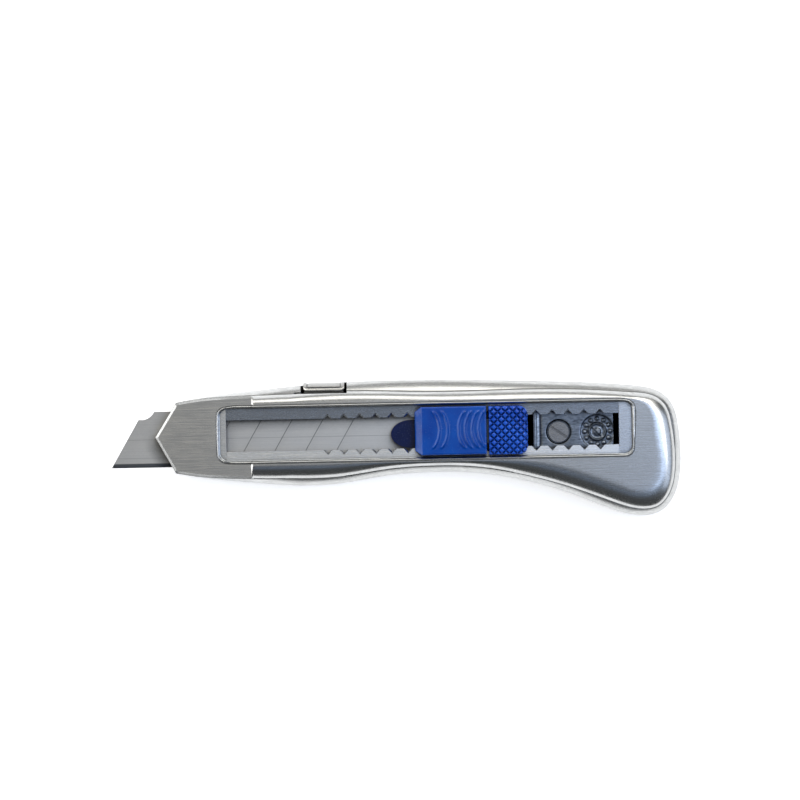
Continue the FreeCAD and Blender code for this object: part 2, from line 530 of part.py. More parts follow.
# ---------------------------------------------------------------- export
def main():
    nodes = {
        "front_shell": front_shell(),
        "back_shell": back_shell(),
        "toothed_rail": toothed_rail(),
        "guide_plate": guide_plate(),
        "guide_screws": guide_screws(),
        "clamp_plate": clamp_plate(),
        "clamp_screw": clamp_screw(),
        "threaded_insert": threaded_insert(),
        "cutter_blade": blade(BLADE_TIP_X, BLADE_Z),
        "spare_blade_lower": blade(SPARE_X, 2.05),
        "spare_blade_upper": blade(SPARE_X, 2.6),
        "spare_clip": spare_clip(),
        "clip_screw": clip_screw(),
        "thumb_slider": thumb_slider(),
        "blade_carrier": blade_carrier(),
        "blade_pin": blade_pin(),
        "slider_rivets": slider_rivets(),
        "notch_spring": notch_spring(),
        "lock_pad": lock_pad(),
        "catch_button": catch_button(),
        "catch_spring": catch_spring(),
    }
    os.makedirs("parts", exist_ok=True)
    whole = FreeCAD.BoundBox()
    for name, shape in nodes.items():
        shape.translate(FRAME_SHIFT)
        whole.add(shape.BoundBox)
        print(f"{name:18s} valid {shape.isValid()} solids {len(shape.Solids)} volume {shape.Volume:9.1f}")
        shape.exportStep(os.path.join("parts", name + ".step"))
    print("box", whole)


main()
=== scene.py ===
"""Looks for a heavy cast-metal snap-off utility knife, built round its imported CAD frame.

All sizes are millimetres in the knife's drawing frame: X from the nose point to the heel, Y up from the
rail's middle line to the blade's spine, Z from the flat back to the thumb side. place() turns them into the
row frame.
"""

import math

import bmesh
import bpy
import numpy as np
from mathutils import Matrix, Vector


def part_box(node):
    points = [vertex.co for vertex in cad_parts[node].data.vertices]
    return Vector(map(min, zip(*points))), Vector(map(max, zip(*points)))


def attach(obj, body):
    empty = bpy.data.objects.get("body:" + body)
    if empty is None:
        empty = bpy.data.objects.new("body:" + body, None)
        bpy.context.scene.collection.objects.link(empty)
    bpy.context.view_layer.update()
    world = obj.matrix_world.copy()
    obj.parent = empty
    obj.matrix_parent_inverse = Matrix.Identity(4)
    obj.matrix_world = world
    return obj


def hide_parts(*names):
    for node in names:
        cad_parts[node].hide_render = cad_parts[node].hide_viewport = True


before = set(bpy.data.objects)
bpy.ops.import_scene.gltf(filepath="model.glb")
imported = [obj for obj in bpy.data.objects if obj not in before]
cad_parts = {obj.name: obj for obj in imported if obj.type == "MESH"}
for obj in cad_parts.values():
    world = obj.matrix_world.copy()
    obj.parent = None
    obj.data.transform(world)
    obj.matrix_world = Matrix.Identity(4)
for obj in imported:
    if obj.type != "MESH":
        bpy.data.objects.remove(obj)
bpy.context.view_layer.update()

MM = 0.001
rail_low, rail_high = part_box("toothed_rail")
RAIL_RISE = 0.3               # mm from the drawing frame's X axis up to the middle of the rail's box
NOSE_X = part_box("front_shell")[0][0]    # nose point, metres in the row frame
RAIL_MIDDLE_Y = (rail_low[1] + rail_high[1]) / 2 - RAIL_RISE * MM

# ---------------------------------------------------------------- sizes, millimetres
PART_Z = 8.0                  # joint between the two half shells
EDGE_Z = 10.6                 # top of the upright flank
CREASE_Z = 13.2               # foot of the raised panel
PLATE_Z = 16.0                # nose plate
FACE_Z = 16.6                 # panel beside the window
RAIL_TOP_Z = 14.8             # face of the rail's lips, which the window's wall comes down to
PLATE_END_X = 31.4            # where the nose plate stops and the rounded shoulders start
WINDOW = (20.9, 153.4, -7.95, 8.65)     # X range and Y range
WINDOW_R = 2.6                # its corners
HOLLOW_GAP = 1.7              # the hollow under the window is this much wider all round
BLADE_WIDTH = 18.0
BLADE_EDGE_Y = -9.7
# grey bands along the blade, as height over its edge and share of its tone: a painted dark reflection on
# the ground edge, then two
# # fine lines on the flat
BLADE_BANDS = (
    (0, 0.3), (1.3, 0.42), (1.45, 1.0), (2.9, 1.0), (3.0, 0.72), (3.25, 1.0), (8.8, 1.0), (8.95, 0.72),
    (9.2, 1.0), (18, 1.0),
)
BUTTON = (47.9, 61.1)         # X range of the catch button
BUTTON_GAP = 0.8              # clearance at each of its ends
# the outline from the upper nose corner along the back, round the heel and along the belly to the lower one
TOP_AND_HEEL = (
    (6.9, 11.1), (14.0, 12.5), (30.0, 14.3), (48.0, 15.9), (66.0, 16.8), (90.0, 16.85), (118.0, 16.1),
    (140.0, 15.1), (155.0, 13.75), (162.3, 11.9), (166.3, 8.2), (168.3, 2.0), (169.1, -7.3),
    (168.6, -15.8), (166.9, -21.6), (162.6, -26.7), (155.3, -28.1), (146.0, -25.7), (131.5, -20.0),
    (117.0, -15.8), (104.0, -13.5), (88.0, -12.9), (74.0, -13.8), (60.0, -15.9), (47.0, -16.4),
    (30.0, -15.1), (14.0, -13.2), (6.5, -11.7),
)


def place(points):
    """Drawing-frame millimetres to row-frame metres."""
    moved = np.array(points, dtype=float) * MM
    moved[..., 0] += NOSE_X
    moved[..., 1] += RAIL_MIDDLE_Y
    return moved


# ---------------------------------------------------------------- materials
NOISE_LOW = 0.3               # nearly all of a noise pattern's values lie between these two
NOISE_HIGH = 0.7
DEEP_HOLLOW = 0.25            # share of open sky at which the painted shade is full, and at which it is gone
OPEN_SURFACE = 0.82
SKY_SAMPLES = 8
METAL_CLOUDS = (0.25, 0.5, 0.5)         # waves per mm of the slow change of tone in a metal
CLOUD_SHARE = 0.25            # its share against the streaks
STREAK_LOW = 0.34             # their mixture is a little flatter than plain noise
STREAK_HIGH = 0.66
PLASTIC_CLOUDS = (0.12, 0.12, 0.12)     # waves per mm of the slow change of tone in a plastic
PLASTIC_IOR = 1.53            # ABS and nylon alike
PLASTIC_SPECULAR = 0.3
METAL_ROUGHER = 0.06          # how far the roughness strays from the given value
METAL_SMOOTHER = 0.05
PLASTIC_ROUGHER = 0.08
PLASTIC_SMOOTHER = 0.06
METAL_BUMP = 0.5
PLASTIC_BUMP = 0.4


def linear(hex_colour):
    """An sRGB hex colour as linear RGBA, by the sRGB curve."""
    parts = [int(hex_colour[i:i + 2], 16) / 255 for i in (1, 3, 5)]
    return tuple(c / 12.92 if c <= 0.04045 else ((c + 0.055) / 1.055) ** 2.4 for c in parts) + (1.0,)


def add(tree, kind, links=(), **settings):
    """Adds a node, sets its attributes or input values, and links (input name, source socket) pairs."""
    node = tree.nodes.new(kind)
    for key, value in settings.items():
        if hasattr(node, key):
            setattr(node, key, value)
        else:
            node.inputs[key.replace("_", " ")].default_value = value
    for name, source in links:
        tree.links.new(source, node.inputs[name])
    return node


def new_material(name, **constants):
    """A material with a Principled shader whose constant sockets are set directly."""
    material = bpy.data.materials.new(name)
    material.use_nodes = True
    shader = material.node_tree.nodes["Principled BSDF"]
    for key, value in constants.items():
        shader.inputs[key.replace("_", " ")].default_value = value
    return material, material.node_tree, shader


def grain(tree, per_mm, detail=3.0):
    """A noise pattern on Object coordinates, with so many waves per millimetre along X, Y and Z."""
    where = add(tree, "ShaderNodeTexCoord")
    stretch = add(tree, "ShaderNodeMapping", [("Vector", where.outputs["Object"])],
                  Scale=tuple(count / MM for count in per_mm))
    noise = add(tree, "ShaderNodeTexNoise", [("Vector", stretch.outputs[0])], Scale=1.0, Detail=detail)
    return noise.outputs[0]


def ramp(tree, source, low, high, start=NOISE_LOW, end=NOISE_HIGH):
    """Maps a pattern between two hex colours."""
    node = add(tree, "ShaderNodeValToRGB", [("Fac", source)])
    node.color_ramp.elements[0].color = linear(low)
    node.color_ramp.elements[0].position = start
    node.color_ramp.elements[1].color = linear(high)
    node.color_ramp.elements[1].position = end
    return node.outputs[0]


def map_range(tree, source, from_low, from_high, to_low, to_high):
    """Maps a value in a straight line from one range to another, and no further than its ends."""
    return add(tree, "ShaderNodeMapRange", [("Value", source)], From_Min=from_low, From_Max=from_high,
               To_Min=to_low, To_Max=to_high).outputs[0]


def spread(tree, source, low, high):
    """Maps a noise pattern to a range of numbers."""
    return map_range(tree, source, NOISE_LOW, NOISE_HIGH, low, high)


def painted_shade(tree, tone, reach_mm, share, lean=(0.0, 0.0, 0.0)):
    """Paints shade into a tone in hollows and under things: the less open sky a point sees, the darker it
    is.

    The lean makes whatever stands on that side count for more, which paints the shadow of the lip over the
    blade and the shade under the roof over the back shell's tray.
    """
    facing = add(tree, "ShaderNodeNewGeometry")
    tilted = add(tree, "ShaderNodeVectorMath", [(0, facing.outputs["Normal"])], operation="ADD")
    tilted.inputs[1].default_value = lean
    turned = add(tree, "ShaderNodeVectorMath", [(0, tilted.outputs[0])], operation="NORMALIZE")
    hollow = add(tree, "ShaderNodeAmbientOcclusion", [("Normal", turned.outputs[0])], samples=SKY_SAMPLES,
                 Distance=reach_mm * MM)
    # painted shade: the tone is scaled down where the ambient occlusion finds little open sky
    kept = map_range(tree, hollow.outputs["AO"], DEEP_HOLLOW, OPEN_SURFACE, share, 1.0)
    return add(tree, "ShaderNodeVectorMath", [(0, tone), ("Scale", kept)], operation="SCALE").outputs[0]


def banded(tree, tone, bands):
    """Multiplies a tone by grey bands along the blade, each given as (height over the edge in mm, grey)."""
    where = add(tree, "ShaderNodeTexCoord")
    parts = add(tree, "ShaderNodeSeparateXYZ", [("Vector", where.outputs["Object"])])
    edge_y = BLADE_EDGE_Y * MM + RAIL_MIDDLE_Y
    height = map_range(tree, parts.outputs["Y"], edge_y, edge_y + BLADE_WIDTH * MM, 0.0, 1.0)
    node = add(tree, "ShaderNodeValToRGB", [("Fac", height)])
    stops = node.color_ramp.elements
    while len(stops) < len(bands):
        stops.new(0.5)
    for stop, (at, grey) in zip(stops, bands):
        stop.position = at / BLADE_WIDTH
        stop.color = (grey, grey, grey, 1.0)
    both = add(tree, "ShaderNodeVectorMath", [(0, tone), (1, node.outputs[0])], operation="MULTIPLY")
    return both.outputs[0]


def brushed_metal(name, low, high, rough, streak_mm=0.18, run_mm=9.0, depth_mm=0.004,
                  hollow_mm=1.0, hollow_share=0.25, lean=(0.0, 0.0, 0.0), bands=()):
    """Linished metal: fine streaks along X shift the tone and the gloss a little, with a shallow bump.

    The streaks are run_mm long and streak_mm apart, depth_mm deep. A belt leaves them about 0.05 mm apart,
    too fine to show, so they are drawn two to four times as coarse. Brighter streaks are smoother.
    """
    material, tree, shader = new_material(name, Metallic=1.0)
    streaks = grain(tree, (1 / run_mm, 1 / streak_mm, 1 / streak_mm), 4.0)
    clouds = grain(tree, METAL_CLOUDS, 5.0)
    mixed = add(tree, "ShaderNodeMix", [("A", streaks), ("B", clouds)], Factor=CLOUD_SHARE).outputs[0]
    tone = ramp(tree, mixed, low, high, STREAK_LOW, STREAK_HIGH)
    if bands:
        tone = banded(tree, tone, bands)
    # the base colour carries painted shade in hollows
    tree.links.new(painted_shade(tree, tone, hollow_mm, hollow_share, lean), shader.inputs["Base Color"])
    gloss = spread(tree, mixed, rough + METAL_ROUGHER, rough - METAL_SMOOTHER)
    tree.links.new(gloss, shader.inputs["Roughness"])
    bump = add(tree, "ShaderNodeBump", [("Height", streaks)], Strength=METAL_BUMP, Distance=depth_mm * MM)
    tree.links.new(bump.outputs[0], shader.inputs["Normal"])
    return material


def moulded_plastic(name, low, high, rough, texture_mm=0.5, depth_mm=0.01, hollow_mm=0.9,
                    hollow_share=0.2):
    """Moulded plastic: nearly even colour, a faint uneven gloss and a shallow spark-eroded texture.

    The texture's real grain is about 0.05 mm, too fine to show, so it is drawn at texture_mm.
    """
    material, tree, shader = new_material(name, IOR=PLASTIC_IOR,
                                          Specular_IOR_Level=PLASTIC_SPECULAR)
    clouds = grain(tree, PLASTIC_CLOUDS, 2.0)
    texture = grain(tree, (1 / texture_mm,) * 3, 2.0)
    tone = ramp(tree, clouds, low, high)
    # the base colour carries painted shade in hollows
    tree.links.new(painted_shade(tree, tone, hollow_mm, hollow_share), shader.inputs["Base Color"])
    gloss = spread(tree, texture, rough - PLASTIC_SMOOTHER, rough + PLASTIC_ROUGHER)
    tree.links.new(gloss, shader.inputs["Roughness"])
    bump = add(tree, "ShaderNodeBump", [("Height", texture)], Strength=PLASTIC_BUMP, Distance=depth_mm * MM)
    tree.links.new(bump.outputs[0], shader.inputs["Normal"])
    return material


# linished die casting, bare: pale warm grey with long fine streaks and soft broad highlights
satin_zinc = brushed_metal("satin_zinc_die_casting", "#ABABA9", "#CDCDCB", 0.27, streak_mm=0.14,
                           run_mm=12.0, depth_mm=0.005)
# the same casting for the back half: pale outside, with painted shade that makes it nearly black in its
# tray, which lies under a roof
shaded_zinc = brushed_metal("satin_zinc_casting_painted_shade_inside", "#ABABA9", "#CDCDCB", 0.27, streak_mm=0.14,
                            run_mm=12.0, depth_mm=0.005, hollow_mm=30.0, hollow_share=0.0,
                            lean=(0, 0, 0.9))
# tumbled casting: a darker button with painted shade that turns its grooves black, so that its U-shaped
# border stands out
button_zinc = brushed_metal("satin_zinc_button", "#8F8E8B", "#B4B3B0", 0.26, streak_mm=0.2, run_mm=2.0,
                            depth_mm=0.004, hollow_mm=2.2, hollow_share=0.0)
# as-cast zinc: bluish grey with a coarse blotchy skin, and painted shade that darkens its corners
cast_zinc_inside = brushed_metal("as_cast_zinc", "#5A6068", "#949CA6", 0.30, streak_mm=0.6, run_mm=1.5,
                                 depth_mm=0.03, hollow_mm=4.0, hollow_share=0.0)
# bright stamped strip: cool and nearly white, with painted shade in the notches, so that they show as sharp
# dark teeth
rail_steel = brushed_metal("bright_stamped_steel", "#C3C8CE", "#E4E7EA", 0.24, streak_mm=0.12, run_mm=5.0,
                           depth_mm=0.002, hollow_mm=2.0, hollow_share=0.05)
# cold rolled sheet: mid grey and dull, with painted shade that makes it dark where the blade and the slider
# cover it
sheet_steel = brushed_metal("cold_rolled_sheet_steel", "#6C6F73", "#8E9194", 0.35, streak_mm=0.2,
                            run_mm=4.0, depth_mm=0.004, hollow_mm=12.0, hollow_share=0.0)
# ground blade steel: light and even with very long streaks, a painted dark reflection on the sharp edge and
# a painted shadow under the upper lip
blade_steel = brushed_metal("ground_carbon_steel", "#DCDBD8", "#E9E8E5", 0.34, streak_mm=0.10, run_mm=14.0,
                            depth_mm=0.002, hollow_mm=5.0, hollow_share=0.12, lean=(0, 2.0, 0),
                            bands=BLADE_BANDS)
# nickel plate on screws and rivets: glossy grey heads, with painted shade that turns the slots black
nickel = brushed_metal("nickel_plated_steel", "#7C7D80", "#B4B3B2", 0.24, streak_mm=0.16, run_mm=3.0,
                       depth_mm=0.006, hollow_mm=0.7, hollow_share=0.0)
# turned brass: warm yellow with an even fine tool mark
turned_brass = brushed_metal("turned_brass", "#B9924C", "#D6B36C", 0.28, streak_mm=0.2, run_mm=0.2,
                             depth_mm=0.003)
# tempered spring steel: dark blue-grey from its heat treatment
spring_steel = brushed_metal("tempered_spring_steel", "#4B5560", "#6D7884", 0.30, streak_mm=0.2, run_mm=3.0,
                             depth_mm=0.003)
# glossy moulded ABS: deep royal blue, with light only along the ribs and rounded edges
slider_blue = moulded_plastic("moulded_blue_abs", "#003A92", "#054CA8", 0.20)
# moulded nylon in shade under the lips: its blue painted down to navy for that shade, and painted shade
# that turns it nearly black towards the slider
carrier_blue = moulded_plastic("moulded_blue_nylon_painted_shade", "#00123E", "#00184C", 0.22, texture_mm=0.5,
                               depth_mm=0.006, hollow_mm=4.0, hollow_share=0.0)
# the pad's own batch of ABS: a slightly more violet blue, with painted shade that turns the grooves between
# its pyramids black
pad_blue = moulded_plastic("moulded_violet_blue_abs", "#1646AE", "#265ECC", 0.20, texture_mm=0.5,
                           depth_mm=0.01, hollow_mm=0.8, hollow_share=0.0)

# every CAD node's material, those that a piece replaces below included
NODE_MATERIALS = {
    "back_shell": shaded_zinc, "toothed_rail": rail_steel, "guide_plate": sheet_steel,
    "guide_screws": nickel, "clamp_plate": cast_zinc_inside, "clamp_screw": nickel,
    "threaded_insert": turned_brass, "cutter_blade": blade_steel, "spare_blade_lower": blade_steel,
    "spare_blade_upper": blade_steel, "spare_clip": spring_steel, "clip_screw": nickel,
    "thumb_slider": slider_blue, "blade_carrier": carrier_blue, "blade_pin": nickel,
    "slider_rivets": nickel, "notch_spring": spring_steel, "lock_pad": pad_blue,
    "catch_button": satin_zinc, "catch_spring": spring_steel, "front_shell": satin_zinc,
}
for node_name, material in NODE_MATERIALS.items():
    node_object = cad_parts[node_name]
    if not node_object.material_slots:
        node_object.data.materials.append(material)
    for material_slot in node_object.material_slots:
        material_slot.material = material


# ---------------------------------------------------------------- mesh helpers
WELD = 1e-7                   # metres


def grid_faces(rows, columns, wrap_rows=False, wrap_columns=False):
    """Quads over a rows x columns grid of points, as an array of corner indices."""
    i = np.arange(rows if wrap_rows else rows - 1)
    j = np.arange(columns if wrap_columns else columns - 1)
    i, j = [a.ravel() for a in np.meshgrid(i, j, indexing="ij")]
    i2 = (i + 1) % rows
    j2 = (j + 1) % columns
    return np.stack([i * columns + j, i2 * columns + j, i2 * columns + j2, i * columns + j2], axis=1)


def make_mesh(name, points, faces, material, smooth_angle=35.0):
    """An object from drawing-frame points and index faces, facing outwards, smooth up to an angle."""
    mesh = bpy.data.meshes.new(name)
    mesh.from_pydata(place(points).tolist(), [], [list(face) for face in faces])
    mesh.validate()
    skin = bmesh.new()
    skin.from_mesh(mesh)
    bmesh.ops.remove_doubles(skin, verts=skin.verts, dist=WELD)
    bmesh.ops.dissolve_degenerate(skin, edges=skin.edges, dist=WELD)
    if skin.calc_volume(signed=True) < 0:
        bmesh.ops.reverse_faces(skin, faces=skin.faces)
    skin.to_mesh(mesh)
    skin.free()
    mesh.materials.append(material)
    mesh.shade_smooth()
    mesh.set_sharp_from_angle(angle=math.radians(smooth_angle))
    made = bpy.data.objects.new(name, mesh)
    bpy.context.scene.collection.objects.link(made)
    return made


def box_points(x0, x1, y0, y1, z0, z1):
    """The corners and outward faces of a box."""
    corners = [(x, y, z) for x in (x0, x1) for y in (y0, y1) for z in (z0, z1)]
    faces = [(0, 1, 3, 2), (4, 6, 7, 5), (0, 4, 5, 1), (2, 3, 7, 6), (0, 2, 6, 4), (1, 5, 7, 3)]
    return corners, faces


def cut_away(target, cutters):
    """Subtracts the cutter objects from the target and keeps the result as its mesh."""
    for cutter in cutters:
        cut = target.modifiers.new("cut", "BOOLEAN")
        cut.operation = "DIFFERENCE"
        cut.solver = "EXACT"
        cut.object = cutter
    graph = bpy.context.evaluated_depsgraph_get()
    result = bpy.data.meshes.new_from_object(target.evaluated_get(graph))
    target.modifiers.clear()
    target.data = result
    for cutter in cutters:
        bpy.data.objects.remove(cutter)


# ---------------------------------------------------------------- front half shell
OUTLINE_STEP = 0.7
NOSE_STEPS = 18               # points on each straight side of the nose
SPLINE_STEPS = 4000
CORNER_STEPS = 10             # points on each of the window's corners
FACING_X = (26, 149)          # between these the outline faces the window's long edges straight across
MITRE_REACH = 12.5            # how far along the outline a nose corner's mitre is felt


def spline_through(points, spacing):
    """A natural cubic spline through 2-D points, by chord length, sampled evenly along its length."""
    points = np.array(points, dtype=float)
    knots = np.concatenate([[0], np.cumsum(np.hypot(*np.diff(points, axis=0).T))])
    step = np.diff(knots)
    count = len(points)
    system = np.eye(count)
    right = np.zeros((count, 2))
    for i in range(1, count - 1):
        system[i, i - 1:i + 2] = step[i - 1], 2 * (step[i - 1] + step[i]), step[i]
        right[i] = 6 * ((points[i + 1] - points[i]) / step[i] - (points[i] - points[i - 1]) / step[i - 1])
    bend = np.linalg.solve(system, right)

    def at(t):
        """The cubic at these distances: the chord's point plus the sag that the second derivatives give."""
        k = np.clip(np.searchsorted(knots, t, side="right") - 1, 0, count - 2)
        a = ((knots[k + 1] - t) / step[k])[:, None]
        b = 1 - a
        square = (step[k] ** 2 / 6)[:, None]
        sag = ((a ** 3 - a) * bend[k] + (b ** 3 - b) * bend[k + 1]) * square
        return a * points[k] + b * points[k + 1] + sag

    fine = at(np.linspace(0, knots[-1], SPLINE_STEPS))
    length = np.concatenate([[0], np.cumsum(np.hypot(*np.diff(fine, axis=0).T))])
    even = np.linspace(0, length[-1], int(length[-1] / spacing) + 1)
    return np.stack([np.interp(even, length, fine[:, k]) for k in (0, 1)], axis=1)


def resample(path, fractions):
    """Points at the given fractions of a polyline's length."""
    length = np.concatenate([[0], np.cumsum(np.hypot(*np.diff(path, axis=0).T))])
    wanted = np.asarray(fractions) * length[-1]
    return np.stack([np.interp(wanted, length, path[:, k]) for k in (0, 1)], axis=1)


def rounded_rectangle(x0, x1, y0, y1, r):
    """A closed rounded rectangle as a polyline, from the middle of its left side, clockwise from above."""
    turn = np.linspace(0, math.pi / 2, CORNER_STEPS)
    quarter = np.stack([np.cos(turn), np.sin(turn)], axis=1) * r
    corners = [
        np.array([x0 + r, y1 - r]) + quarter * [-1, 1],
        np.array([x1 - r, y1 - r]) + quarter[::-1],
        np.array([x1 - r, y0 + r]) + quarter * [1, -1],
        np.array([x0 + r, y0 + r]) + quarter[::-1] * [-1, -1],
    ]
    middle = np.array([[x0, (y0 + y1) / 2]])
    return np.concatenate([middle, *corners, middle])


def shell_paths():
    """The body's outline and, point for point, its inward direction and the window edge that it faces.

    Between the nose corners the outline is the spline. Each point looks inwards along its normal, leaning
    along the tangent near a nose corner so that both sides of the corner share one mitre. Above and below
    the window a point faces the window edge straight across; round the ends the two curves are matched by
    length.
    """
    side = spline_through(TOP_AND_HEEL, OUTLINE_STEP)
    tip = np.array([[0.0, 0.0]])
    rise = tip + (side[0] - tip) * np.linspace(0, 1, NOSE_STEPS)[:-1, None]
    fall = side[-1] + (tip - side[-1]) * np.linspace(0, 1, NOSE_STEPS)[1:-1, None]
    outline = np.concatenate([rise, side, fall])
    ahead = np.roll(outline, -1, axis=0) - outline
    ahead /= np.hypot(*ahead.T)[:, None]
    behind = np.roll(ahead, 1, axis=0)
    inward_a = np.stack([ahead[:, 1], -ahead[:, 0]], axis=1)
    inward_b = np.stack([behind[:, 1], -behind[:, 0]], axis=1)
    mitre = (inward_a + inward_b) / (1 + np.sum(inward_a * inward_b, axis=1))[:, None]
    inward = mitre.copy()
    corners = [0, len(rise), len(rise) + len(side) - 1]
    length = np.concatenate([[0], np.cumsum(np.hypot(*np.diff(outline, axis=0).T))])
    total = length[-1] + math.hypot(*(outline[-1] - outline[0]))
    for corner in corners:
        away = np.abs((length - length[corner] + total / 2) % total - total / 2)
        for tangent, sign in ((ahead, 1), (behind, -1)):
            lean = float(np.sum(mitre[corner] * tangent[corner]))
            one_side = ((length - length[corner]) * sign) % total < total / 2
            near = np.clip(1 - away / MITRE_REACH, 0, 1) * one_side * (away > 0)
            inward += (near * lean)[:, None] * tangent

    window = rounded_rectangle(*WINDOW, WINDOW_R)
    x0, x1, y0, y1 = WINDOW
    edge = np.zeros_like(outline)
    upper = outline[:, 1] > 0
    past_front = outline[:, 0] >= FACING_X[0]
    before_heel = outline[:, 0] <= FACING_X[1]
    first_top = np.argmax(past_front & upper)
    last_top = len(outline) - 1 - np.argmax((before_heel & upper)[::-1])
    first_low = np.argmax(before_heel & ~upper & (np.arange(len(outline)) > last_top))
    last_low = len(outline) - 1 - np.argmax((past_front & ~upper)[::-1])
    for start, stop, level in ((first_top, last_top, y1), (first_low, last_low, y0)):
        edge[start:stop + 1, 0] = outline[start:stop + 1, 0]
        edge[start:stop + 1, 1] = level
    left_half = CORNER_STEPS + 1
    upper_left = np.concatenate([window[:left_half], [[outline[first_top, 0], y1]]])
    lower_left = np.concatenate([[[outline[last_low, 0], y0]], window[-left_half:]])
    right = window[window[:, 0] > (x0 + x1) / 2]
    right = np.concatenate([[[outline[last_top, 0], y1]], right, [[outline[first_low, 0], y0]]])

    def match(start, stop, path):
        """Gives a stretch of the outline the points at the same shares of a path's length."""
        part = length[start:stop + 1]
        edge[start:stop + 1] = resample(path, (part - part[0]) / (part[-1] - part[0]))

    match(0, first_top, upper_left)
    match(last_top, first_low, right)
    end_length = np.append(length[last_low:], total)
    fractions = (end_length - end_length[0]) / (end_length[-1] - end_length[0])
    edge[last_low:] = resample(lower_left, fractions)[:-1]
    return outline, inward, edge


def bell(x, centre, width):
    """A bell curve of height 1."""
    return np.exp(-((x - centre) / width) ** 2)


LIFT_OFF = 0.02               # keeps faces just clear of the back shell and the rail
# the upright flank: distance in from the outline and height, with a fine groove at the joint
FLANK = ((0.22, PART_Z + LIFT_OFF), (0.0, PART_Z + 0.3), (0.0, PART_Z + 0.8), (0.0, 9.6))
RIM_START_X = 7.5             # the rim starts here and has its full width RIM_GROWTH further on
RIM_GROWTH = 36.0
TOP_RIM = 2.1                 # width along the back, with one swelling (height, middle, width)
TOP_SWELLING = (1.4, 90, 28)
LOW_RIM = 1.7                 # width along the belly, with two
LOW_SWELLINGS = ((0.5, 50, 18), (0.6, 146, 14))
RIM_STEPS = 9
SIDE_CHANGE_Y = -6.0          # at this height round the heel, back and belly count half each
SIDE_CHANGE_SOFT = 3.0
HEEL_START_X = 118            # round the heel's end the crown widens from here over HEEL_GROWTH
HEEL_GROWTH = 36.0
TOP_CROWN = 5.0               # the crown's width along the back
HEEL_CROWN = 2.5              # what the heel's end adds to it
LOW_CROWN = 6.5               # and along the belly
NOSE_CROWN = 0.75             # the nose plate has a narrow chamfer instead
NOSE_CHAMFER_DEPTH = 0.7
FACE_MARGIN = 1.6             # the crown stays this far from the window
MINIMUM_SHARPNESS = 4
CROWN_TURN = 0.95             # how much of the quarter ellipse the crown uses
CROWN_TURN_LESS = 0.33        # how much less along the back, from x = TURN_START_X over TURN_GROWTH
TURN_START_X = 70
TURN_GROWTH = 40
CROWN_STEPS = 15
FACE_STEPS = 7
RIM_ROUND = 0.25              # how much of the rim's profile is an ellipse, the rest being a straight slope
RIM_ROUND_TOP = 0.1           # what the back adds to it
CREASE_WIDTH = 0.2
CREASE_MIDDLE = 0.12
CREASE_DEPTH = 0.06
BEAD_MARGIN = 1.25            # width that the bead takes, measured from the window's wall
ACROSS_REACH = 6.0            # by this far in, a point's path runs straight towards the window
ACROSS_SHARE = 0.92           # or by this share of its way, where that is shorter
# the bead round the window: distance from the window's wall, and height over the face beside it
BEAD = ((1.2, -0.05), (1.08, -0.14), (0.98, -0.05), (0.88, 0.1), (0.76, 0.18), (0.6, 0.18), (0.44, 0.06),
        (0.28, -0.14), (0.12, -0.42), (0.0, -0.8))
# boxes cut out of the shell, as X range, Y range and Z range: the blade's mouth, the button's opening
# through the rim, and the pocket behind it for the button's flange
SHELL_CUTS = (
    ("cut_mouth", (-2, 20, -10.0, 8.6, 10.58, 11.5)),
    ("cut_opening", (BUTTON[0] - BUTTON_GAP, BUTTON[1] + BUTTON_GAP, 13.1, 19.0, 7.0, 17.5)),
    ("cut_pocket", (BUTTON[0] - 3.0, BUTTON[1] + 3.0, 10.4, 13.6, 7.0, 13.3)),
)


